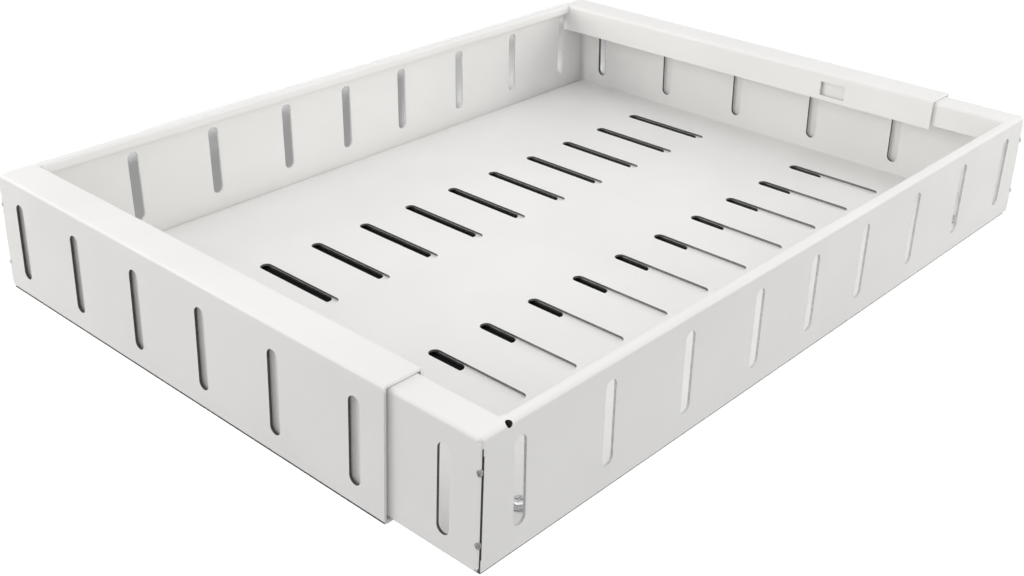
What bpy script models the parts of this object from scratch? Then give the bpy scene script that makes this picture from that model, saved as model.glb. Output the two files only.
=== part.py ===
"""Telescoping sheet-steel tray of an under-desk drawer, closed.

Two folded and welded halves nest in each other and slide apart along X. Each
half is a channel (floor, front and back wall, top flanges and lips) with an end
wall tack-welded into its outer end. The front and back walls lean inwards
towards the top, those of the outer half a little more, so the two halves come
closest along their top edges. +X is the way the inner half pulls out, +Y runs
from the front to the back, +Z is up. The origin is the bottom centre of the
closed tray. Units are metres.
"""
import math

import bmesh
import bpy
from mathutils import Matrix, Vector

# Sheet, bends and gaps
SHEET = 0.0012
BEND_RADIUS = 0.0018
BEND_STEPS = 4
LAYER_GAP = 0.0003
SIDE_GAP = 0.0008
OUTER_LEAN = 0.0024
INNER_LEAN = 0.0020
LIP_GAP = 0.0008
SEAM_GAP = 0.0003
SEAM_STEP = 0.0004

# Overall size of the closed tray
CLOSED_WIDTH = 0.320
INNER_DEPTH = 0.430
HEIGHT = 0.060
OUTER_LENGTH = 0.274
INNER_SETBACK = 0.0060

# Channel flanges and lips, front and back
OUTER_LIP_Y = 0.1975
OUTER_LIP_DROP = 0.0170
INNER_LIP_DROP = 0.0135

# Narrow flange and lip of the end walls
RIM_WIDTH = 0.0055
RIM_DROP = 0.0050
RIM_CLEARANCE = 0.0012
RELIEF_RADIUS = 0.0018
RELIEF_DEPTH = 0.0046

# Slots
SLOT_WIDTH = 0.0064
SLOT_STEPS = 6
WALL_SLOT_LENGTH = 0.0390
END_SLOT_Z = 0.0310
CHANNEL_SLOT_Z = 0.0295
END_SLOT_PITCH = 0.0502
END_SLOT_MID_PITCH = 0.0445
CHANNEL_SLOTS = 6
OUTER_SLOT_PITCH = 0.0480
OUTER_BACK_SLOT_SHIFT = 0.0037
INNER_SLOT_PITCH = 0.0560
FLOOR_SLOT_LENGTH = 0.0580
FLOOR_SLOT_PITCH = 0.0338
FLOOR_SLOTS = 12
FLOOR_SLOT_SHIFT = -0.0035
OUTER_FLOOR_ROWS = (-0.0620, 0.0296)
INNER_FLOOR_ROWS = (-0.0568, 0.0668)

# Stop windows in the outer lips
WINDOW_X = 0.0510
WINDOW_Z = 0.0500
WINDOW_SIZE = (0.0160, 0.0084)

# Tack welds at the four upright corner seams
TACK_HEIGHTS = (0.0140, 0.0446)
TACK_RADII = (0.0017, 0.0017, 0.0019)
TACK_INSET = 0.0009

# Floor screws of the inner half and the clinch nuts under them
SCREW_FROM_END = 0.0155
SCREW_FROM_FRONT = 0.0370
SCREW_SHANK = 0.0020
SCREW_HEAD = 0.0040
SCREW_HEAD_HEIGHT = 0.0026
RECESS_WIDTH = 0.0010
RECESS_SPAN = 0.0044
RECESS_DEPTH = 0.0013
NUT_RADIUS = 0.0042
NUT_THICKNESS = 0.0009
ROUND_STEPS = 24

# Positions that follow from the sizes above
LEFT_FACE = -CLOSED_WIDTH / 2
RIGHT_FACE = CLOSED_WIDTH / 2
INNER_Y = INNER_DEPTH / 2
OUTER_Y = INNER_Y + SIDE_GAP + SHEET
INNER_LIP_Y = OUTER_LIP_Y + SHEET + LIP_GAP
LAYER = SHEET + LAYER_GAP
INNER_BOTTOM = LAYER
INNER_TOP = HEIGHT - LAYER
SEAM = SHEET + SEAM_GAP
OUTER_END = LEFT_FACE + OUTER_LENGTH
INNER_START = LEFT_FACE + INNER_SETBACK

X_AXIS = Vector((1, 0, 0))
Y_AXIS = Vector((0, 1, 0))
Z_AXIS = Vector((0, 0, 1))


def clear_scene():
    for obj in list(bpy.data.objects):
        bpy.data.objects.remove(obj, do_unlink=True)


def make_material(name, color, roughness, metallic):
    material = bpy.data.materials.new(name)
    material.use_nodes = True
    shader = material.node_tree.nodes["Principled BSDF"]
    shader.inputs["Base Color"].default_value = (*color, 1.0)
    shader.inputs["Roughness"].default_value = roughness
    shader.inputs["Metallic"].default_value = metallic
    return material


def add_object(name, bm, material=None, parent=None):
    bmesh.ops.recalc_face_normals(bm, faces=bm.faces)
    mesh = bpy.data.meshes.new(name)
    bm.to_mesh(mesh)
    bm.free()
    obj = bpy.data.objects.new(name, mesh)
    bpy.context.scene.collection.objects.link(obj)
    if material:
        mesh.materials.append(material)
        mesh.shade_smooth()
        mesh.set_sharp_from_angle(angle=math.radians(30))
    if parent:
        obj.parent = parent
        obj.matrix_parent_inverse = Matrix.Translation(-parent.location)
    return obj


def add_empty(name, location):
    empty = bpy.data.objects.new(name, None)
    empty.location = location
    empty.empty_display_size = 0.02
    bpy.context.scene.collection.objects.link(empty)
    return empty


def cut(target, cutter):
    """Subtract a helper object, which stays in the file as a wire guide."""
    cutter.hide_render = True
    cutter.display_type = "WIRE"
    modifier = target.modifiers.new(cutter.name, "BOOLEAN")
    modifier.operation = "DIFFERENCE"
    modifier.object = cutter


def sheet_skins(corners):
    """Outside and inside skin points of a folded sheet.

    corners is the sharp outline of its outside skin, and every fold turns the same way.
    """
    points = [Vector(corner) for corner in corners]
    ways = [(b - a).normalized() for a, b in zip(points, points[1:])]
    turn_sign = math.copysign(1, ways[0].cross(ways[1]))
    square = Matrix.Rotation(turn_sign * math.pi / 2, 2)
    skins = [(points[0], points[0] + square @ ways[0] * SHEET)]
    for corner, before, after in zip(points[1:], ways, ways[1:]):
        turn = before.angle(after)
        start = corner - before * BEND_RADIUS * math.tan(turn / 2)
        centre = start + square @ before * BEND_RADIUS
        for step in range(BEND_STEPS + 1):
            way = Matrix.Rotation(turn_sign * turn * step / BEND_STEPS, 2) @ before
            inward = square @ way
            outside = centre - inward * BEND_RADIUS
            skins.append((outside, outside + inward * SHEET))
    skins.append((points[-1], points[-1] + square @ ways[-1] * SHEET))
    return skins


def fold_sheet(corners, place, length):
    """Section of a folded sheet as a row of quads, pulled out along a straight line.

    place turns a section point into a position at the start, and length is the pull.
    """
    bm = bmesh.new()
    rows = [(bm.verts.new(place(a)), bm.verts.new(place(b))) for a, b in sheet_skins(corners)]
    for (a, b), (c, d) in zip(rows, rows[1:]):
        bm.faces.new((a, b, d, c))
    pulled = bmesh.ops.extrude_face_region(bm, geom=list(bm.faces))["geom"]
    moved = [item for item in pulled if isinstance(item, bmesh.types.BMVert)]
    bmesh.ops.translate(bm, verts=moved, vec=length)
    return bm


def add_slot(bm, centre, along, through, length, depth):
    """A round-ended slot cutter, long along one axis and pushed through another."""
    across = through.cross(along)
    radius = SLOT_WIDTH / 2
    outline = []
    for end in (1, -1):
        middle = along * (end * (length / 2 - radius))
        for step in range(SLOT_STEPS + 1):
            angle = math.pi * (step / SLOT_STEPS - 0.5)
            spoke = (along * math.cos(angle) + across * math.sin(angle)) * end
            outline.append(centre + middle + spoke * radius - through * depth / 2)
    face = bm.faces.new([bm.verts.new(point) for point in outline])
    pulled = bmesh.ops.extrude_face_region(bm, geom=[face])["geom"]
    moved = [item for item in pulled if isinstance(item, bmesh.types.BMVert)]
    bmesh.ops.translate(bm, verts=moved, vec=through * depth)


def add_box(bm, low, high):
    low, high = Vector(low), Vector(high)
    middle = Matrix.Translation((low + high) / 2)
    size = Matrix.Diagonal((*(high - low), 1))
    bmesh.ops.create_cube(bm, size=1, matrix=middle @ size)


def spread(count, pitch):
    return [(index - (count - 1) / 2) * pitch for index in range(count)]


def cut_floor_slots(channel, rows, floor):
    bm = bmesh.new()
    for x in rows:
        for y in spread(FLOOR_SLOTS, FLOOR_SLOT_PITCH):
            centre = Vector((x, y + FLOOR_SLOT_SHIFT, floor))
            add_slot(bm, centre, X_AXIS, Z_AXIS, FLOOR_SLOT_LENGTH, 6 * SHEET)
    cut(channel, add_object(channel.name + ".floor_slots", bm))


def cut_channel_wall_slots(channel, middle, pitch, wall_y, back_shift):
    bm = bmesh.new()
    for side, shift in ((-1, 0), (1, back_shift)):
        for x in spread(CHANNEL_SLOTS, pitch):
            centre = Vector((middle + shift + x, side * wall_y, CHANNEL_SLOT_Z))
            add_slot(bm, centre, Z_AXIS, Y_AXIS, WALL_SLOT_LENGTH, 6 * SHEET)
    cut(channel, add_object(channel.name + ".wall_slots", bm))


def cut_end_wall_slots(wall, face):
    bm = bmesh.new()
    for side in (-1, 1):
        for index in range(4):
            y = side * (END_SLOT_MID_PITCH + index * END_SLOT_PITCH)
            add_slot(bm, Vector((face, y, END_SLOT_Z)), Z_AXIS, X_AXIS, WALL_SLOT_LENGTH, 6 * SHEET)
    add_slot(bm, Vector((face, 0, END_SLOT_Z)), Z_AXIS, X_AXIS, WALL_SLOT_LENGTH, 6 * SHEET)
    cut(wall, add_object(wall.name + ".slots", bm))


def relief_cutter(name, face, out, y, top):
    """Round relief holes drilled at 45 degrees through both ends of an end wall's top fold."""
    bm = bmesh.new()
    turn = Matrix.Rotation(out * math.pi / 4, 4, "Y")
    for side in (-1, 1):
        middle = Matrix.Translation((face - out * SHEET, side * y, top - SHEET))
        bmesh.ops.create_cone(
            bm, cap_ends=True, segments=ROUND_STEPS // 2, radius1=RELIEF_RADIUS,
            radius2=RELIEF_RADIUS, depth=RELIEF_DEPTH, matrix=middle @ turn)
    return add_object(name, bm)


def make_channel(name, start, end, half_depth, lean, lip_y, bottom, top, drop, material, parent):
    """Floor, front and back wall with their flanges and lips, folded from one sheet."""
    foot = half_depth + lean
    corners = [
        (-lip_y, top - drop), (-lip_y, top), (-half_depth, top), (-foot, bottom),
        (foot, bottom), (half_depth, top), (lip_y, top), (lip_y, top - drop),
    ]
    bm = fold_sheet(corners, lambda p: Vector((start, p.x, p.y)), X_AXIS * (end - start))
    return add_object(name, bm, material, parent)


def make_end_wall(name, face, out, half_depth, lean, rim_half, bottom, top, material, parent):
    """Upright end wall whose top folds inwards into a narrow rim between the corners."""
    rim = face - out * RIM_WIDTH
    corners = [(face, bottom), (face, top), (rim, top), (rim, top - RIM_DROP)]
    reach = half_depth + lean - SHEET - SEAM_STEP
    bm = fold_sheet(corners, lambda p: Vector((p.x, -reach, p.y)), Y_AXIS * 2 * reach)
    wall = add_object(name, bm, material, parent)
    cut_end_wall_slots(wall, face)
    inside = face - out * SHEET
    beyond = rim - out * 2 * SHEET
    ends = bmesh.new()
    for side in (-1, 1):
        near, far = sorted((side * rim_half, side * (reach + SHEET)))
        low = (min(inside, beyond), near, top - RIM_DROP - SHEET)
        high = (max(inside, beyond), far, top + SHEET)
        add_box(ends, low, high)
    cut(wall, add_object(name + ".rim_ends", ends))
    if lean:
        cut(wall, lean_cutter(name + ".leaning_edges", face, reach, lean, bottom, top))
    return wall


def lean_cutter(name, face, reach, lean, bottom, top):
    """Wedges that slope an end wall's upright edges to follow leaning channel walls."""
    bm = bmesh.new()
    slope = lean / (top - bottom)
    low, high = bottom - SHEET, top + SHEET
    outside = reach + 4 * SHEET
    for side in (-1, 1):
        section = (
            (reach + slope * SHEET, low), (outside, low),
            (outside, high), (reach - lean - slope * SHEET, high),
        )
        points = [bm.verts.new((face - 8 * SHEET, side * y, z)) for y, z in section]
        pulled = bmesh.ops.extrude_face_region(bm, geom=[bm.faces.new(points)])["geom"]
        moved = [item for item in pulled if isinstance(item, bmesh.types.BMVert)]
        bmesh.ops.translate(bm, verts=moved, vec=X_AXIS * 16 * SHEET)
    return add_object(name, bm)


def make_tack_weld(name, face, out, side, half_depth, z, material, parent):
    """A bead over the open corner seam, clear of both sheets that it ties together."""
    bm = bmesh.new()
    centre = Vector((face - out * TACK_INSET, side * (half_depth - TACK_INSET), z))
    size = Matrix.Diagonal((*TACK_RADII, 1))
    bmesh.ops.create_uvsphere(
        bm, u_segments=12, v_segments=8, radius=1, matrix=Matrix.Translation(centre) @ size)
    bead = add_object(name, bm, material, parent)
    tall = 3 * TACK_RADII[2]
    wide = 4 * TACK_RADII[0]
    wall_end = face - out * (SEAM - SEAM_GAP)
    plate_edge = side * (half_depth - SHEET - SEAM_STEP + SEAM_GAP)
    inner_corners = {
        "channel": (wall_end, side * (half_depth + SEAM_GAP)),
        "end_wall": (face + out * SEAM_GAP, plate_edge),
    }
    for sheet, (x, y) in inner_corners.items():
        room = bmesh.new()
        x_span = sorted((x, x - out * wide))
        y_span = sorted((y, y - side * wide))
        add_box(room, (x_span[0], y_span[0], z - tall), (x_span[1], y_span[1], z + tall))
        cut(bead, add_object(f"{name}.{sheet}_room", room))
    return bead


def turned(profile):
    """Solid of revolution about Z from (radius, height) points, top to bottom."""
    bm = bmesh.new()
    verts = [bm.verts.new((radius, 0, z)) for radius, z in profile]
    edges = [bm.edges.new(pair) for pair in zip(verts, verts[1:])]
    bmesh.ops.spin(
        bm, geom=verts + edges, cent=(0, 0, 0), axis=(0, 0, 1),
        angle=2 * math.pi, steps=ROUND_STEPS, use_duplicate=False)
    bmesh.ops.remove_doubles(bm, verts=bm.verts, dist=1e-6)
    return bm


def make_screw(name, x, y, material, parent):
    """Pan-head cross-recessed screw standing on the inner floor."""
    seat = INNER_BOTTOM + SHEET + LAYER_GAP
    tip = LAYER_GAP / 2
    dome = [
        (SCREW_HEAD * math.sin(math.radians(angle)),
         seat + SCREW_HEAD_HEIGHT * (0.25 + 0.75 * math.cos(math.radians(angle))))
        for angle in range(0, 91, 15)
    ]
    profile = dome + [(SCREW_HEAD, seat), (SCREW_SHANK, seat), (SCREW_SHANK, tip), (0, tip)]
    bm = turned(profile)
    bmesh.ops.translate(bm, verts=bm.verts, vec=(x, y, 0))
    screw = add_object(name, bm, material, parent)
    for size in ((RECESS_SPAN, RECESS_WIDTH), (RECESS_WIDTH, RECESS_SPAN)):
        slot = bmesh.new()
        crown = seat + SCREW_HEAD_HEIGHT
        add_box(
            slot, (x - size[0] / 2, y - size[1] / 2, crown - RECESS_DEPTH),
            (x + size[0] / 2, y + size[1] / 2, crown + SHEET))
        cut(screw, add_object(f"{name}.recess_{len(screw.modifiers)}", slot))
    return screw


def make_clinch_nut(name, x, y, material, parent):
    """Thin round nut held under the inner floor, around the screw's shank."""
    top = INNER_BOTTOM - LAYER_GAP
    bottom = top - NUT_THICKNESS
    hole = SCREW_SHANK + SEAM_GAP
    profile = [(hole, top), (NUT_RADIUS, top), (NUT_RADIUS, bottom), (hole, bottom), (hole, top)]
    bm = turned(profile)
    bmesh.ops.translate(bm, verts=bm.verts, vec=(x, y, 0))
    return add_object(name, bm, material, parent)


def make_half(half, face, out, start, end, half_depth, lean, lip_y, bottom, top, drop, paint):
    """One nesting half: its channel, its end wall and the welds between them."""
    parent = add_empty(half + "_half", (face, 0, bottom))
    channel = make_channel(
        half + "_channel", start, end, half_depth, lean, lip_y, bottom, top, drop, paint, parent)
    wall = make_end_wall(
        half + "_end_wall", face, out, half_depth, lean, lip_y - RIM_CLEARANCE, bottom, top,
        paint, parent)
    relief = relief_cutter(half + ".relief_holes", face, out, lip_y + SHEET, top)
    cut(channel, relief)
    cut(wall, relief)
    for side, place in ((-1, "front"), (1, "back")):
        for z, level in zip(TACK_HEIGHTS, ("lower", "upper")):
            wall_y = half_depth + lean * (top - z) / (top - bottom)
            make_tack_weld(
                f"{half}_tack_weld_{place}_{level}", face, out, side, wall_y, z, paint, parent)
    return channel, parent


def main():
    clear_scene()
    paint = make_material("white_powder_coat", (0.86, 0.85, 0.84), 0.45, 0.0)
    steel = make_material("zinc_plated_steel", (0.60, 0.60, 0.61), 0.28, 1.0)

    outer, _ = make_half(
        "outer", LEFT_FACE, -1, LEFT_FACE + SEAM, OUTER_END, OUTER_Y, OUTER_LEAN,
        OUTER_LIP_Y, 0.0, HEIGHT, OUTER_LIP_DROP, paint)
    cut_floor_slots(outer, OUTER_FLOOR_ROWS, 0.0)
    cut_channel_wall_slots(
        outer, (LEFT_FACE + SHEET + OUTER_END) / 2, OUTER_SLOT_PITCH, OUTER_Y + OUTER_LEAN / 2,
        OUTER_BACK_SLOT_SHIFT)
    windows = bmesh.new()
    for side in (-1, 1):
        lip = side * (OUTER_LIP_Y + SHEET / 2)
        width, height = WINDOW_SIZE
        add_box(
            windows, (WINDOW_X - width / 2, lip - SHEET, WINDOW_Z - height / 2),
            (WINDOW_X + width / 2, lip + SHEET, WINDOW_Z + height / 2))
    cut(outer, add_object("outer_channel.stop_windows", windows))

    inner, inner_half = make_half(
        "inner", RIGHT_FACE, 1, INNER_START, RIGHT_FACE - SEAM, INNER_Y, INNER_LEAN,
        INNER_LIP_Y, INNER_BOTTOM, INNER_TOP, INNER_LIP_DROP, paint)
    cut_floor_slots(inner, INNER_FLOOR_ROWS, INNER_BOTTOM)
    cut_channel_wall_slots(
        inner, (INNER_START + RIGHT_FACE - SHEET) / 2, INNER_SLOT_PITCH, INNER_Y + INNER_LEAN / 2, 0)

    holes = bmesh.new()
    screw_x = RIGHT_FACE - SCREW_FROM_END
    screw_y = INNER_Y - SCREW_FROM_FRONT
    for side, place in ((-1, "front"), (1, "back")):
        make_screw("floor_screw_" + place, screw_x, side * screw_y, steel, inner_half)
        make_clinch_nut("clinch_nut_" + place, screw_x, side * screw_y, steel, inner_half)
        bmesh.ops.create_cone(
            holes, cap_ends=True, segments=ROUND_STEPS, radius1=SCREW_SHANK + SEAM_GAP,
            radius2=SCREW_SHANK + SEAM_GAP, depth=6 * SHEET,
            matrix=Matrix.Translation((screw_x, side * screw_y, INNER_BOTTOM)))
    cut(inner, add_object("inner_channel.screw_holes", holes))


main()
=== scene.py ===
"""Looks of the under-desk drawer tray: two nesting halves of white powder-coated sheet steel.

Each CAD sheet is replaced by the same sheet with finer bends, rounded cut edges and
ground corner welds, and the screws, clinch nuts and weld beads by detailed ones. Metres,
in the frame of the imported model.
"""
import math
from collections import namedtuple

import bmesh
import bpy
from mathutils import Matrix, Vector, noise


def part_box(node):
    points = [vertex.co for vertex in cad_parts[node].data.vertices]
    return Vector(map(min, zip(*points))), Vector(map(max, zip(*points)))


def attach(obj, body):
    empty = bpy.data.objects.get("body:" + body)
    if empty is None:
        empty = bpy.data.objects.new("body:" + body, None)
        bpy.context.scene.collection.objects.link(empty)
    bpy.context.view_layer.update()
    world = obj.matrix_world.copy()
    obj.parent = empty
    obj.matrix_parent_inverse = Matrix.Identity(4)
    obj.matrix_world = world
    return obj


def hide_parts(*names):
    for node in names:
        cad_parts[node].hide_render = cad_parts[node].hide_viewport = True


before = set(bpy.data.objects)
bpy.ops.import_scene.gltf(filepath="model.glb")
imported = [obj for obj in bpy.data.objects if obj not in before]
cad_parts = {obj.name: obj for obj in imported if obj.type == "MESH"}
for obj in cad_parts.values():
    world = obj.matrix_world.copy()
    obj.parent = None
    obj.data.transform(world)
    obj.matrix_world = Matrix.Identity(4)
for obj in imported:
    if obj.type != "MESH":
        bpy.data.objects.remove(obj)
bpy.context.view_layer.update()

# Sheet and bends, as in the CAD model
SHEET = 0.0012
BEND_RADIUS = 0.0018
BEND_STEPS = 8
EDGE_ROUND = 0.00022
CUT_DEPTH = 6 * SHEET

# The two halves: which way their end wall faces along X, how far their front and back
# walls lean in at the top, and where and how deep their lips hang
Half = namedtuple("Half", "name out lean lip_y lip_drop")
OUTER = Half("outer", -1, 0.0024, 0.1975, 0.0170)
INNER = Half("inner", 1, 0.0020, 0.1995, 0.0135)

# End walls' rims and relief holes
RIM_DROP = 0.0050
RIM_CLEARANCE = 0.0012
RELIEF_RADIUS = 0.0015
RELIEF_DEPTH = 0.0044

# Slots and windows
SLOT_WIDTH = 0.0064
SLOT_STEPS = 14
WALL_SLOT_LENGTH = 0.0390
END_SLOT_Z = 0.0310
CHANNEL_SLOT_Z = 0.0295
END_SLOTS_PER_SIDE = 4
END_SLOT_PITCH = 0.0502
END_SLOT_MID_PITCH = 0.0445
CHANNEL_SLOTS = 6
OUTER_SLOT_PITCH = 0.0480
OUTER_BACK_SLOT_SHIFT = 0.0037
INNER_SLOT_PITCH = 0.0560
FLOOR_SLOT_LENGTH = 0.0580
FLOOR_SLOT_PITCH = 0.0338
FLOOR_SLOTS = 12
FLOOR_SLOT_SHIFT = -0.0035
OUTER_FLOOR_ROWS = (-0.0620, 0.0296)
INNER_FLOOR_ROWS = (-0.0568, 0.0668)
WINDOW_X = 0.0510
WINDOW_Z = 0.0500
WINDOW_SIZE = (0.0160, 0.0084)

# Corner seams, the ground welds over their tops and the tack welds in them. The size,
# lumps and seed of a tack weld's bead are shares or multiples of its CAD box.
CORNER_WELD_DROP = 0.0045
CORNER_WELD_REACH = 0.0052
CORNER_REACH = 0.0011
PROUD = 0.00003
TOUCHING = 1e-6
SEAM_CLEAR = 0.0003
SEAM_OPEN = (0.0070, 0.0510)
SEAM_SETBACK = 0.0004
BEAD_SHARE = 0.84
BEAD_LUMP = 0.16
BEAD_LUMP_SCALE = 1.6
BEAD_SEED_SCALE = 900

# Screws and nuts. Shares are of the head's radius or height, or of the shank's radius.
TURN_STEPS = 48
SHANK_HOLE = 0.0023
SHANK_RADIUS = 0.0020
SCREW_SEAT = 0.00285
CROWN_SHARE = 0.55
CROWN_FALL = 0.05
CROWN_STEPS = 3
HEAD_SIDE = 0.28
HEAD_STEPS = 8
HEAD_FOOT = (0.97, 0.05)
THREAD_TURNS = 6
THREAD_ROOT = 0.90
SHANK_TIP = 0.8
RECESS_WIDTH = 0.0007
RECESS_SPAN = 0.0034
RECESS_DEPTH = 0.0005
RECESS_TURN = 0.5
NUT_CHAMFER = 0.00015

# Floor, and the near-black sheets of painted shadow under the tray, whose edges lie just inside
# those of the sheets above them
FLOOR_REACH = 4
FLOOR_Z = -0.0004
SHADOW_SHEET_Z = -0.0002
OUTER_SHADOW_INSET = 0.0006
INNER_SHADOW_INSET = (0.0011, 0.0026)

# Surrounding light from above and, as if off a white floor, from below
SKY_LIGHT = 0.66
BOUNCE_LIGHT = 0.27

# Area lights: name, place, target, diameter, power and colour
AREA_LIGHTS = (
    ("overhead", (-0.2, 0.15, 1.50), (0, 0, 0), 1.5, 5.0, (1.0, 1.0, 1.0)),
    ("front_right", (0.75, -0.85, 0.35), (-0.05, -0.15, 0.03), 0.5, 0.9, (1.0, 1.0, 1.0)),
    ("side_right", (0.95, 0.80, 0.42), (0.1, 0.05, 0.03), 0.8, 5.6, (1.0, 0.98, 0.94)),
    ("side_left", (-0.82, -0.85, 0.46), (-0.05, -0.1, 0.03), 0.8, 5.7, (1.0, 0.945, 0.905)),
)

# Low sun that only the floor takes, and the camera. Angles are in degrees.
WASH_STRENGTH = 29.0
WASH_SPREAD = 10
WASH_AZIMUTH, WASH_ELEVATION = 42, 17.5
CAMERA_PLACE = (0.40988, -0.47423, 0.30813)
CAMERA_AZIMUTH, CAMERA_ELEVATION, CAMERA_ROLL = 42.42, 28.07, 0.82
CAMERA_LENS = 45.80

X_AXIS = Vector((1, 0, 0))
Y_AXIS = Vector((0, 1, 0))
Z_AXIS = Vector((0, 0, 1))


def shader_of(material):
    return material.node_tree.nodes["Principled BSDF"]


def new_material(name, roughness, metallic=0.0):
    material = bpy.data.materials.new(name)
    material.use_nodes = True
    shader = shader_of(material)
    shader.inputs["Roughness"].default_value = roughness
    shader.inputs["Metallic"].default_value = metallic
    return material


def object_noise(material, scale, detail):
    """A noise texture fixed to the object, so it moves with its body."""
    nodes, links = material.node_tree.nodes, material.node_tree.links
    place = nodes.new("ShaderNodeTexCoord")
    texture = nodes.new("ShaderNodeTexNoise")
    texture.inputs["Scale"].default_value = scale
    texture.inputs["Detail"].default_value = detail
    links.new(place.outputs["Object"], texture.inputs["Vector"])
    return texture


def noisy_ramp(material, scale, detail, low, high):
    """Colours between two ends, read off a noise."""
    nodes, links = material.node_tree.nodes, material.node_tree.links
    ramp = nodes.new("ShaderNodeValToRGB")
    for element, position, colour in zip(ramp.color_ramp.elements, (0.35, 0.65), (low, high)):
        element.position = position
        element.color = (*colour, 1.0)
    links.new(object_noise(material, scale, detail).outputs["Fac"], ramp.inputs["Fac"])
    return ramp


def vary(material, socket, scale, detail, low, high):
    """Lets a socket of the shader drift between two colours or grey levels."""
    ramp = noisy_ramp(material, scale, detail, low, high)
    material.node_tree.links.new(ramp.outputs["Color"], shader_of(material).inputs[socket])


def add_bump(material, scale, detail, strength, distance, before=None):
    """Noise relief on the shader's normal, over the relief that came before it."""
    nodes, links = material.node_tree.nodes, material.node_tree.links
    bump = nodes.new("ShaderNodeBump")
    bump.inputs["Strength"].default_value = strength
    bump.inputs["Distance"].default_value = distance
    links.new(object_noise(material, scale, detail).outputs["Fac"], bump.inputs["Height"])
    if before:
        links.new(before.outputs["Normal"], bump.inputs["Normal"])
    links.new(bump.outputs["Normal"], shader_of(material).inputs["Normal"])
    return bump


def painted_crevice_shade(material, tone, shade, reach):
    """Painted shade: darkens a coat in narrow gaps and corners, read off ambient occlusion."""
    nodes, links = material.node_tree.nodes, material.node_tree.links
    hollow = nodes.new("ShaderNodeAmbientOcclusion")
    hollow.samples = 8
    hollow.inputs["Distance"].default_value = reach
    level = nodes.new("ShaderNodeMapRange")
    level.inputs["From Min"].default_value = 0.10
    level.inputs["From Max"].default_value = 0.42
    mix = nodes.new("ShaderNodeMix")
    mix.data_type = "RGBA"
    mix.inputs["A"].default_value = (*shade, 1.0)
    links.new(hollow.outputs["AO"], level.inputs["Value"])
    links.new(level.outputs["Result"], mix.inputs["Factor"])
    links.new(tone.outputs["Color"], mix.inputs["B"])
    links.new(mix.outputs["Result"], shader_of(material).inputs["Base Color"])


def powder_coat():
    """Satin white powder coat: faint orange peel, fine grain and slight tone drift."""
    material = new_material("white_powder_coat_fine", 0.42)
    shader_of(material).inputs["IOR"].default_value = 1.50
    vary(material, "Base Color", 14.0, 3.0, (0.845, 0.838, 0.824), (0.875, 0.869, 0.856))
    vary(material, "Roughness", 60.0, 3.0, (0.38,) * 3, (0.47,) * 3)
    peel = add_bump(material, 420.0, 2.0, 0.25, 0.00004)
    add_bump(material, 2600.0, 1.0, 0.20, 0.00001, peel)
    return material


def cut_edge_grey_and_painted_shade(name, low, high, hollow):
    """Cut edges, where the coat pulls thin and grey steel shows, with painted shade in gaps and
    corners.
    """
    material = new_material(name, 0.5)
    tone = noisy_ramp(material, 700.0, 3.0, (low,) * 3, (high,) * 3)
    painted_crevice_shade(material, tone, (hollow,) * 3, 0.0022)
    add_bump(material, 1800.0, 2.0, 0.20, 0.00002)
    return material


def coated_weld():
    """Weld beads under a thin coat, in patches of dark grey-brown."""
    material = new_material("thin_coat_on_weld", 0.5)
    vary(material, "Base Color", 900.0, 3.0, (0.22, 0.20, 0.18), (0.50, 0.47, 0.44))
    add_bump(material, 1500.0, 2.0, 0.35, 0.00006)
    return material


def zinc_plate():
    """Bright zinc plate with a fine mottled sheen."""
    material = new_material("bright_zinc_plate", 0.26, 1.0)
    vary(material, "Base Color", 900.0, 3.0, (0.56, 0.56, 0.57), (0.74, 0.74, 0.75))
    vary(material, "Roughness", 1500.0, 2.0, (0.20,) * 3, (0.34,) * 3)
    add_bump(material, 3200.0, 2.0, 0.15, 0.00001)
    return material


def stage_coat(name, roughness, scale, low, high):
    """A matt grey without any gloss."""
    material = new_material(name, roughness)
    vary(material, "Base Color", scale, 2.0, (low,) * 3, (high,) * 3)
    shader_of(material).inputs["Specular IOR Level"].default_value = 0.0
    return material


def add_object(name, bm, material=None):
    bmesh.ops.recalc_face_normals(bm, faces=bm.faces)
    mesh = bpy.data.meshes.new(name)
    bm.to_mesh(mesh)
    bm.free()
    obj = bpy.data.objects.new(name, mesh)
    bpy.context.scene.collection.objects.link(obj)
    if material:
        mesh.materials.append(material)
    return obj


def cut_away(target, cutters):
    """Subtract the cutters for good and delete them. A cutter's material goes to its cut."""
    for cutter in cutters:
        modifier = target.modifiers.new(cutter.name, "BOOLEAN")
        modifier.operation = "DIFFERENCE"
        modifier.object = cutter
        if cutter.data.materials:
            modifier.material_mode = "TRANSFER"
    bpy.context.view_layer.update()
    shape = bpy.data.meshes.new_from_object(
        target.evaluated_get(bpy.context.evaluated_depsgraph_get()))
    target.modifiers.clear()
    target.data = shape
    for cutter in cutters:
        bpy.data.objects.remove(cutter, do_unlink=True)


def soften_edges(obj):
    """Round the cut edges as a coat of powder does, and shade the sheet smooth."""
    modifier = obj.modifiers.new("edge_round", "BEVEL")
    modifier.width = EDGE_ROUND
    modifier.segments = 2
    modifier.limit_method = "ANGLE"
    modifier.angle_limit = math.radians(50)
    modifier.harden_normals = True
    obj.data.shade_smooth()


def shade_round(obj, sharp_from):
    """Smooth shading, but for edges sharper than an angle in degrees."""
    obj.data.shade_smooth()
    obj.data.set_sharp_from_angle(angle=math.radians(sharp_from))


def finish(obj, body, slot, *nodes):
    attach(obj, body)
    if nodes:
        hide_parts(*nodes)


def pull(bm, faces, way):
    """Extrude faces along a straight line."""
    pulled = bmesh.ops.extrude_face_region(bm, geom=faces)["geom"]
    moved = [item for item in pulled if isinstance(item, bmesh.types.BMVert)]
    bmesh.ops.translate(bm, verts=moved, vec=way)


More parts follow.
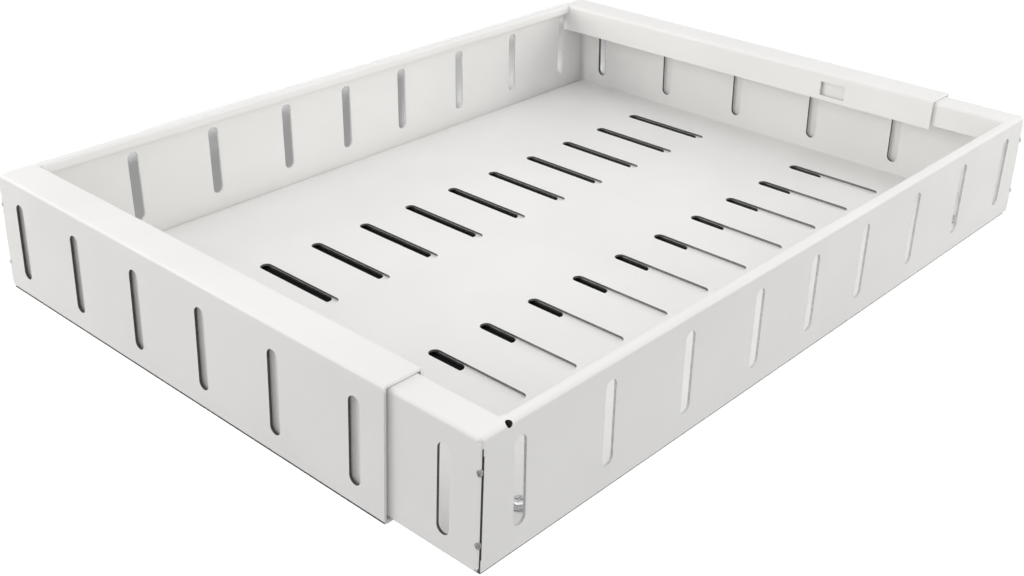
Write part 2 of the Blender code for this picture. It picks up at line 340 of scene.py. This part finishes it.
def sheet_skins(corners):
    """Outside and inside skin points of a folded sheet whose folds all turn one way."""
    points = [Vector(corner) for corner in corners]
    ways = [(b - a).normalized() for a, b in zip(points, points[1:])]
    turn_sign = math.copysign(1, ways[0].cross(ways[1]))
    square = Matrix.Rotation(turn_sign * math.pi / 2, 2)
    skins = [(points[0], points[0] + square @ ways[0] * SHEET)]
    for corner, before, after in zip(points[1:], ways, ways[1:]):
        turn = before.angle(after)
        start = corner - before * BEND_RADIUS * math.tan(turn / 2)
        centre = start + square @ before * BEND_RADIUS
        for step in range(BEND_STEPS + 1):
            way = Matrix.Rotation(turn_sign * turn * step / BEND_STEPS, 2) @ before
            inward = square @ way
            outside = centre - inward * BEND_RADIUS
            skins.append((outside, outside + inward * SHEET))
    skins.append((points[-1], points[-1] + square @ ways[-1] * SHEET))
    return skins


def fold_sheet(corners, place, length):
    """Section of a folded sheet as a row of quads, pulled out along a straight line."""
    bm = bmesh.new()
    rows = [(bm.verts.new(place(a)), bm.verts.new(place(b))) for a, b in sheet_skins(corners)]
    for (a, b), (c, d) in zip(rows, rows[1:]):
        bm.faces.new((a, b, d, c))
    pull(bm, list(bm.faces), length)
    return bm


def add_box(bm, low, high):
    low, high = Vector(low), Vector(high)
    middle = Matrix.Translation((low + high) / 2)
    size = Matrix.Diagonal((*(high - low), 1))
    bmesh.ops.create_cube(bm, size=1, matrix=middle @ size)


def box_cutter(name, boxes, coat=None):
    bm = bmesh.new()
    for low, high in boxes:
        add_box(bm, low, high)
    return add_object(name, bm, coat)


def add_cylinder(bm, radius, depth, steps, matrix):
    bmesh.ops.create_cone(
        bm, cap_ends=True, segments=steps, radius1=radius, radius2=radius, depth=depth,
        matrix=matrix)


def add_slot(bm, centre, along, through, length):
    """A round-ended slot cutter, long along one axis and pushed through another."""
    across = through.cross(along)
    radius = SLOT_WIDTH / 2
    outline = []
    for end in (1, -1):
        middle = along * (end * (length / 2 - radius))
        for step in range(SLOT_STEPS + 1):
            angle = math.pi * (step / SLOT_STEPS - 0.5)
            spoke = (along * math.cos(angle) + across * math.sin(angle)) * end
            outline.append(centre + middle + spoke * radius - through * CUT_DEPTH / 2)
    face = bm.faces.new([bm.verts.new(point) for point in outline])
    pull(bm, [face], through * CUT_DEPTH)


def slot_cutter(name, centres, along, through, length, coat):
    bm = bmesh.new()
    for centre in centres:
        add_slot(bm, Vector(centre), along, through, length)
    return add_object(name, bm, coat)


def spread(count, pitch):
    return [(index - (count - 1) / 2) * pitch for index in range(count)]


def floor_slots(rows, floor, coat):
    ys = [y + FLOOR_SLOT_SHIFT for y in spread(FLOOR_SLOTS, FLOOR_SLOT_PITCH)]
    centres = [(x, y, floor) for x in rows for y in ys]
    return slot_cutter("floor_slots", centres, X_AXIS, Z_AXIS, FLOOR_SLOT_LENGTH, coat)


def channel_wall_slots(middle, pitch, wall_y, back_shift, coat):
    """Slots of a channel's front and back wall, with the back row shifted along X."""
    xs = spread(CHANNEL_SLOTS, pitch)
    centres = [(middle + x, -wall_y, CHANNEL_SLOT_Z) for x in xs]
    centres += [(middle + back_shift + x, wall_y, CHANNEL_SLOT_Z) for x in xs]
    return slot_cutter("wall_slots", centres, Z_AXIS, Y_AXIS, WALL_SLOT_LENGTH, coat)


def end_wall_slots(face, coat):
    """A middle slot, and a row on each side of it that starts at a pitch of its own."""
    row = [END_SLOT_MID_PITCH + index * END_SLOT_PITCH for index in range(END_SLOTS_PER_SIDE)]
    ys = [-y for y in row] + row + [0]
    centres = [(face, y, END_SLOT_Z) for y in ys]
    return slot_cutter("end_slots", centres, Z_AXIS, X_AXIS, WALL_SLOT_LENGTH, coat)


def relief_holes(half, face, top, coat):
    """Round holes drilled at 45 degrees through both ends of an end wall's top fold."""
    bm = bmesh.new()
    turn = Matrix.Rotation(half.out * math.pi / 4, 4, "Y")
    for side in (-1, 1):
        middle = (face - half.out * SHEET, side * (half.lip_y + SHEET), top - SHEET)
        add_cylinder(
            bm, RELIEF_RADIUS, RELIEF_DEPTH, TURN_STEPS // 2, Matrix.Translation(middle) @ turn)
    return add_object("relief_holes", bm, coat)


def stop_windows(coat):
    width, height = WINDOW_SIZE
    boxes = []
    for side in (-1, 1):
        lip = side * (OUTER.lip_y + SHEET / 2)
        boxes.append((
            (WINDOW_X - width / 2, lip - SHEET, WINDOW_Z - height / 2),
            (WINDOW_X + width / 2, lip + SHEET, WINDOW_Z + height / 2)))
    return box_cutter("stop_windows", boxes, coat)


def round_piece(node):
    """Axis, radius, bottom and top of an upright round CAD piece."""
    low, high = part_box(node)
    return (low.x + high.x) / 2, (low.y + high.y) / 2, (high.x - low.x) / 2, low.z, high.z


def screw_holes(screws):
    bm = bmesh.new()
    for node in screws:
        x, y, _, bottom, _ = round_piece(node)
        middle = Matrix.Translation((x, y, bottom + SHEET))
        add_cylinder(bm, SHANK_HOLE, CUT_DEPTH, TURN_STEPS, middle)
    return add_object("screw_holes", bm)


def seam_cutters(ends, half_depth, low, high):
    """Trim a channel's end back, all but its front and back wall, to the end wall's inside."""
    near, far = ends
    between = half_depth - SHEET - PROUD
    wide = high.y + SHEET
    clear = BEND_RADIUS + SEAM_CLEAR
    spans = (
        ("seam_middle", between, low.z - SHEET, high.z + SHEET),
        ("seam_floor", wide, low.z - SHEET, low.z + clear),
        ("seam_flange", wide, high.z - clear, high.z + SHEET),
    )
    return [
        box_cutter(name, [((near, -reach, bottom), (far, reach, top))])
        for name, reach, bottom, top in spans]


def make_channel(half, cutters, coat):
    """Floor, walls, flanges and lips of one half, from the CAD channel's box.

    The front and back wall run on past the end wall's edge and close the upright corners.
    """
    low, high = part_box(half.name + "_channel")
    top_y = high.y - half.lean
    lip_z = high.z - half.lip_drop
    corners = [
        (-half.lip_y, lip_z), (-half.lip_y, high.z), (-top_y, high.z), (-high.y, low.z),
        (high.y, low.z), (top_y, high.z), (half.lip_y, high.z), (half.lip_y, lip_z),
    ]
    start = low.x - (CORNER_REACH if half.out < 0 else 0)
    end = high.x + (CORNER_REACH if half.out > 0 else 0)
    bm = fold_sheet(corners, lambda p: Vector((start, p.x, p.y)), X_AXIS * (end - start))
    channel = add_object(half.name + "_channel_sheet", bm, coat)
    ends = (high.x, end + SHEET) if half.out > 0 else (start - SHEET, low.x)
    cut_away(channel, cutters + seam_cutters(ends, top_y, low, high))
    soften_edges(channel)
    finish(channel, half.name + "_half", "powder_coat", half.name + "_channel")


def wall_edge_cutters(half, face, low, high, coat):
    """Slopes an end wall's upright edges to follow the channel, and sets their middle back."""
    slope = half.lean / (high.z - low.z)
    outside = high.y + 4 * SHEET
    cutters = []
    for bottom, top, setback in ((*SEAM_OPEN, SEAM_SETBACK), (low.z - SHEET, high.z + SHEET, 0)):
        section = (
            (high.y - setback - slope * (bottom - low.z), bottom), (outside, bottom),
            (outside, top), (high.y - setback - slope * (top - low.z), top),
        )
        bm = bmesh.new()
        for side in (-1, 1):
            points = [bm.verts.new((face - 8 * SHEET, side * y, z)) for y, z in section]
            pull(bm, [bm.faces.new(points)], X_AXIS * 16 * SHEET)
        cutters.append(add_object("wall_edges", bm, coat))
    return cutters


def make_end_wall(half, coat, pale_edge_and_painted_shade, bare_edge_and_painted_shadow):
    """Slotted end wall with its narrow rim, from the CAD wall's box."""
    low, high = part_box(half.name + "_end_wall")
    face, rim = (high.x, low.x) if half.out > 0 else (low.x, high.x)
    corners = [(face, low.z), (face, high.z), (rim, high.z), (rim, high.z - RIM_DROP)]
    length = Y_AXIS * (high.y - low.y)
    bm = fold_sheet(corners, lambda p: Vector((p.x, low.y, p.y)), length)
    wall = add_object(half.name + "_end_wall_sheet", bm, coat)
    inside = face - half.out * SHEET
    beyond = rim - half.out * 2 * SHEET
    rim_ends = []
    for side in (-1, 1):
        near, far = sorted((side * (half.lip_y - RIM_CLEARANCE), side * (high.y + SHEET)))
        rim_ends.append((
            (min(inside, beyond), near, high.z - RIM_DROP - SHEET),
            (max(inside, beyond), far, high.z + SHEET)))
    cut_away(wall, [
        end_wall_slots(face, pale_edge_and_painted_shade), box_cutter("rim_ends", rim_ends),
        relief_holes(half, face, high.z, bare_edge_and_painted_shadow),
        *wall_edge_cutters(half, face, low, high, bare_edge_and_painted_shadow)])
    soften_edges(wall)
    finish(wall, half.name + "_half", "powder_coat", half.name + "_end_wall")


def edges_between(bm, planes):
    """Edges where two of three planes meet, given by their places along X, Y and Z."""
    return [
        edge for edge in bm.edges
        if sum(
            all(abs(vert.co[axis] - place) < TOUCHING for vert in edge.verts)
            for axis, place in enumerate(planes)) == 2]


def make_corner_weld(half, side, place, coat, bare_edge_and_painted_shadow):
    """Ground weld that closes a top corner flush, from the rim's end round to the seam."""
    channel_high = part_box(half.name + "_channel")[1]
    wall_low, wall_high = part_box(half.name + "_end_wall")
    face = (wall_high.x if half.out > 0 else wall_low.x) + half.out * PROUD
    edge = side * (channel_high.y - half.lean + PROUD)
    top = channel_high.z + PROUD
    inner_x = face - half.out * CORNER_WELD_REACH
    inner_y = side * (half.lip_y - RIM_CLEARANCE)
    bm = bmesh.new()
    add_box(
        bm, (min(face, inner_x), min(edge, inner_y), top - CORNER_WELD_DROP),
        (max(face, inner_x), max(edge, inner_y), top))
    bmesh.ops.bevel(
        bm, geom=edges_between(bm, (face, edge, top)), offset=BEND_RADIUS, segments=BEND_STEPS,
        profile=0.5, affect="EDGES", clamp_overlap=False)
    weld = add_object(f"{half.name}_corner_weld_{place}", bm, coat)
    if side < 0:
        cut_away(weld, [relief_holes(half, face, channel_high.z, bare_edge_and_painted_shadow)])
    shade_round(weld, 40)
    finish(weld, half.name + "_half", "powder_coat")


def make_tack_weld(node, body, coat):
    """Lumpy bead that bridges the open corner seam."""
    low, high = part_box(node)
    centre = (low + high) / 2
    size = (high - low) / 2
    bm = bmesh.new()
    bmesh.ops.create_icosphere(bm, subdivisions=4, radius=1)
    seed = centre * BEAD_SEED_SCALE
    for vert in bm.verts:
        lump = 1.0 + BEAD_LUMP * noise.noise(vert.co * BEAD_LUMP_SCALE + seed)
        vert.co = vert.co * size * lump * BEAD_SHARE
    bmesh.ops.translate(bm, verts=bm.verts, vec=centre)
    bead = add_object(node + "_bead", bm, coat)
    bead.data.shade_smooth()
    finish(bead, body, "powder_coat", node)


def turned(profile, x, y):
    """Solid of revolution about an upright axis from (radius, height) points."""
    bm = bmesh.new()
    verts = [bm.verts.new((radius, 0, z)) for radius, z in profile]
    edges = [bm.edges.new(pair) for pair in zip(verts, verts[1:])]
    bmesh.ops.spin(
        bm, geom=verts + edges, cent=(0, 0, 0), axis=(0, 0, 1),
        angle=2 * math.pi, steps=TURN_STEPS, use_duplicate=False)
    bmesh.ops.remove_doubles(bm, verts=bm.verts, dist=TOUCHING)
    bmesh.ops.translate(bm, verts=bm.verts, vec=(x, y, 0))
    return bm


def make_screw(node, zinc):
    """Pan head with a crowned top, a rounded rim and a cross recess."""
    x, y, radius, bottom, top = round_piece(node)
    seat = bottom + SCREW_SEAT
    head = top - seat
    profile = []
    for step in range(CROWN_STEPS + 1):
        share = step / CROWN_STEPS
        profile.append((radius * CROWN_SHARE * share, top - head * CROWN_FALL * share ** 2))
    for step in range(1, HEAD_STEPS + 1):
        angle = math.pi / 2 * step / HEAD_STEPS
        rim = radius * (CROWN_SHARE + (1 - CROWN_SHARE) * math.sin(angle))
        rise = HEAD_SIDE + (1 - CROWN_FALL - HEAD_SIDE) * math.cos(angle)
        profile.append((rim, seat + head * rise))
    foot_radius, foot_height = HEAD_FOOT
    profile += [(radius, seat + head * foot_height), (radius * foot_radius, seat)]
    profile.append((SHANK_RADIUS, seat))
    for turn in range(THREAD_TURNS):
        z = seat - SCREW_SEAT * (turn + 0.5) / THREAD_TURNS
        profile.append((SHANK_RADIUS * (THREAD_ROOT if turn % 2 else 1.0), z))
    profile += [(SHANK_RADIUS * SHANK_TIP, bottom), (0, bottom)]
    screw = add_object(node + "_pan_head", turned(profile, x, y), zinc)
    recesses = []
    for angle in (RECESS_TURN, RECESS_TURN + math.pi / 2):
        slot = bmesh.new()
        add_box(
            slot, (-RECESS_SPAN / 2, -RECESS_WIDTH / 2, -RECESS_DEPTH),
            (RECESS_SPAN / 2, RECESS_WIDTH / 2, SHEET))
        place = Matrix.Translation((x, y, top)) @ Matrix.Rotation(angle, 4, "Z")
        bmesh.ops.transform(slot, matrix=place, verts=slot.verts)
        recesses.append(add_object("recess", slot))
    cut_away(screw, recesses)
    shade_round(screw, 35)
    finish(screw, "inner_half", "plated_steel", node)


def make_clinch_nut(node, zinc):
    """Thin clinch nut with a chamfered rim, round the screw's shank."""
    x, y, radius, bottom, top = round_piece(node)
    profile = [
        (SHANK_HOLE, top), (radius - NUT_CHAMFER, top), (radius, top - NUT_CHAMFER),
        (radius, bottom + NUT_CHAMFER), (radius - NUT_CHAMFER, bottom),
        (SHANK_HOLE + NUT_CHAMFER, bottom), (SHANK_HOLE, bottom + NUT_CHAMFER), (SHANK_HOLE, top),
    ]
    nut = add_object(node + "_ring", turned(profile, x, y), zinc)
    shade_round(nut, 30)
    finish(nut, "inner_half", "plated_steel", node)


def make_channels(coat, pale_edge_and_painted_shade, worn_edge_and_painted_shade, bare_edge_and_painted_shadow, screws):
    """Both folded channels with all that is cut into them."""
    outer_low, outer_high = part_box("outer_channel")
    inner_low, inner_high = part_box("inner_channel")
    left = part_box("outer_end_wall")[0].x
    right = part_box("inner_end_wall")[1].x
    outer_middle = (left + SHEET + outer_high.x) / 2
    inner_middle = (inner_low.x + right - SHEET) / 2
    outer_wall_y = outer_high.y - OUTER.lean / 2
    inner_wall_y = inner_high.y - INNER.lean / 2
    make_channel(OUTER, [
        floor_slots(OUTER_FLOOR_ROWS, outer_low.z, bare_edge_and_painted_shadow),
        channel_wall_slots(
            outer_middle, OUTER_SLOT_PITCH, outer_wall_y, OUTER_BACK_SLOT_SHIFT, bare_edge_and_painted_shadow),
        relief_holes(OUTER, left, outer_high.z, bare_edge_and_painted_shadow),
        stop_windows(pale_edge_and_painted_shade),
    ], coat)
    make_channel(INNER, [
        floor_slots(INNER_FLOOR_ROWS, inner_low.z, worn_edge_and_painted_shade),
        channel_wall_slots(inner_middle, INNER_SLOT_PITCH, inner_wall_y, 0, bare_edge_and_painted_shadow),
        relief_holes(INNER, right, inner_high.z, bare_edge_and_painted_shadow),
        screw_holes(screws),
    ], coat)


def make_tray():
    coat = powder_coat()
    # Pale thin coat on the end walls' slots and the stop windows, with painted shade in their
    # gaps and corners
    pale_edge_and_painted_shade = cut_edge_grey_and_painted_shade("thin_coat_on_cut_edge", 0.52, 0.64, 0.20)
    # Mid grey on the inner floor's slots: partly worn coat, partly painted shade
    worn_edge_and_painted_shade = cut_edge_grey_and_painted_shade("worn_coat_on_cut_edge", 0.16, 0.24, 0.02)
    # Near black on the channels' wall slots, the outer floor's slots, the relief holes and the
    # open seams: partly bare steel, partly painted shadow
    bare_edge_and_painted_shadow = cut_edge_grey_and_painted_shade("bare_steel_on_cut_edge", 0.05, 0.09, 0.02)
    bead_coat = coated_weld()
    zinc = zinc_plate()
    screws = ("floor_screw_front", "floor_screw_back")
    make_channels(coat, pale_edge_and_painted_shade, worn_edge_and_painted_shade, bare_edge_and_painted_shadow, screws)
    for half in (OUTER, INNER):
        make_end_wall(half, coat, pale_edge_and_painted_shade, bare_edge_and_painted_shadow)
        for side, place in ((-1, "front"), (1, "back")):
            make_corner_weld(half, side, place, coat, bare_edge_and_painted_shadow)
            weld_coat = bead_coat if (half, place) == (INNER, "front") else coat
            for level in ("lower", "upper"):
                node = f"{half.name}_tack_weld_{place}_{level}"
                make_tack_weld(node, half.name + "_half", weld_coat)
    for node in screws:
        make_screw(node, zinc)
    for node in ("clinch_nut_front", "clinch_nut_back"):
        make_clinch_nut(node, zinc)


def add_stage_plane(name, low, high, z, material):
    bm = bmesh.new()
    corners = (low, (high[0], low[1]), high, (low[0], high[1]))
    bm.faces.new([bm.verts.new((x, y, z)) for x, y in corners])
    plane = add_object(name, bm, material)
    return plane


def make_floor():
    """A plain pale floor, and near-black sheets of painted shadow on it under the tray that show
    only through the tray's floor slots.

    The floor sends no light back up to the tray. The surrounding light does that instead.
    """
    pale = stage_coat("studio_floor", 0.9, 3.0, 0.31, 0.33)
    # Near-black painted shadow, laid under the tray where shade falls
    painted_shadow = stage_coat("mat_under_tray", 0.95, 900.0, 0.010, 0.018)
    reach = (FLOOR_REACH, FLOOR_REACH)
    floor = add_stage_plane("studio_floor", (-FLOOR_REACH, -FLOOR_REACH), reach, FLOOR_Z, pale)
    low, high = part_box("outer_channel")
    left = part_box("outer_end_wall")[0].x + OUTER_SHADOW_INSET
    seam = high.x - OUTER_SHADOW_INSET
    add_stage_plane(
        "mat_under_outer", (left, low.y + OUTER_SHADOW_INSET), (seam, high.y - OUTER_SHADOW_INSET),
        SHADOW_SHEET_Z, painted_shadow)
    inset_x, inset_y = INNER_SHADOW_INSET
    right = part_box("inner_end_wall")[1].x - inset_x
    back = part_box("inner_channel")[1].y - inset_y
    add_stage_plane("mat_under_inner", (seam, -back), (right, back), SHADOW_SHEET_Z, painted_shadow)
    floor.visible_diffuse = False
    return floor


def direction(azimuth, elevation):
    """Unit vector up and to the front right, from angles in degrees."""
    azimuth, elevation = math.radians(azimuth), math.radians(elevation)
    return Vector((
        math.sin(azimuth) * math.cos(elevation), -math.cos(azimuth) * math.cos(elevation),
        math.sin(elevation)))


def aim(obj, way):
    obj.rotation_mode = "QUATERNION"
    obj.rotation_quaternion = way.to_track_quat("-Z", "Y")
    bpy.context.scene.collection.objects.link(obj)


def add_area_light(name, place, target, size, power, colour):
    light = bpy.data.lights.new(name, "AREA")
    light.shape = "DISK"
    light.size = size
    light.energy = power
    light.color = colour
    obj = bpy.data.objects.new(name, light)
    obj.location = place
    aim(obj, Vector(target) - Vector(place))


def add_floor_wash(floor):
    """Low sun from the front right that keeps the floor white round the tray's shadow."""
    wash = bpy.data.lights.new("floor_wash", "SUN")
    wash.energy = WASH_STRENGTH
    wash.angle = math.radians(WASH_SPREAD)
    obj = bpy.data.objects.new("floor_wash", wash)
    aim(obj, -direction(WASH_AZIMUTH, WASH_ELEVATION))
    only_floor = bpy.data.collections.new("floor_wash_receivers")
    only_floor.objects.link(floor)
    obj.light_linking.receiver_collection = only_floor


def make_world():
    """Even surroundings, stronger above than below, in front of a plain white backdrop."""
    world = bpy.data.worlds.new("studio")
    world.use_nodes = True
    nodes, links = world.node_tree.nodes, world.node_tree.links
    ambient = nodes["Background"]
    ambient.inputs["Color"].default_value = (0.985, 0.99, 1.0, 1.0)
    place = nodes.new("ShaderNodeTexCoord")
    height = nodes.new("ShaderNodeSeparateXYZ")
    strength = nodes.new("ShaderNodeMapRange")
    strength.inputs["From Min"].default_value = -0.1
    strength.inputs["From Max"].default_value = 0.1
    strength.inputs["To Min"].default_value = BOUNCE_LIGHT
    strength.inputs["To Max"].default_value = SKY_LIGHT
    links.new(place.outputs["Generated"], height.inputs["Vector"])
    links.new(height.outputs["Z"], strength.inputs["Value"])
    links.new(strength.outputs["Result"], ambient.inputs["Strength"])
    backdrop = nodes.new("ShaderNodeBackground")
    backdrop.inputs["Color"].default_value = (1.0, 1.0, 1.0, 1.0)
    backdrop.inputs["Strength"].default_value = 1.0
    path = nodes.new("ShaderNodeLightPath")
    mix = nodes.new("ShaderNodeMixShader")
    links.new(path.outputs["Is Camera Ray"], mix.inputs["Fac"])
    links.new(ambient.outputs["Background"], mix.inputs[1])
    links.new(backdrop.outputs["Background"], mix.inputs[2])
    links.new(mix.outputs["Shader"], nodes["World Output"].inputs["Surface"])
    bpy.context.scene.world = world


def make_camera():
    """Looks down across the near right corner of the front wall."""
    data = bpy.data.cameras.new("camera")
    data.sensor_width = 36.0
    data.lens = CAMERA_LENS
    camera = bpy.data.objects.new("camera", data)
    camera.location = CAMERA_PLACE
    aim(camera, -direction(CAMERA_AZIMUTH, CAMERA_ELEVATION))
    roll = Matrix.Rotation(math.radians(CAMERA_ROLL), 3, "Z").to_quaternion()
    camera.rotation_quaternion = camera.rotation_quaternion @ roll
    bpy.context.scene.camera = camera


make_tray()
studio_floor = make_floor()
make_world()
for settings in AREA_LIGHTS:
    add_area_light(*settings)
add_floor_wash(studio_floor)
make_camera()
bpy.context.scene.view_settings.view_transform = "Standard"
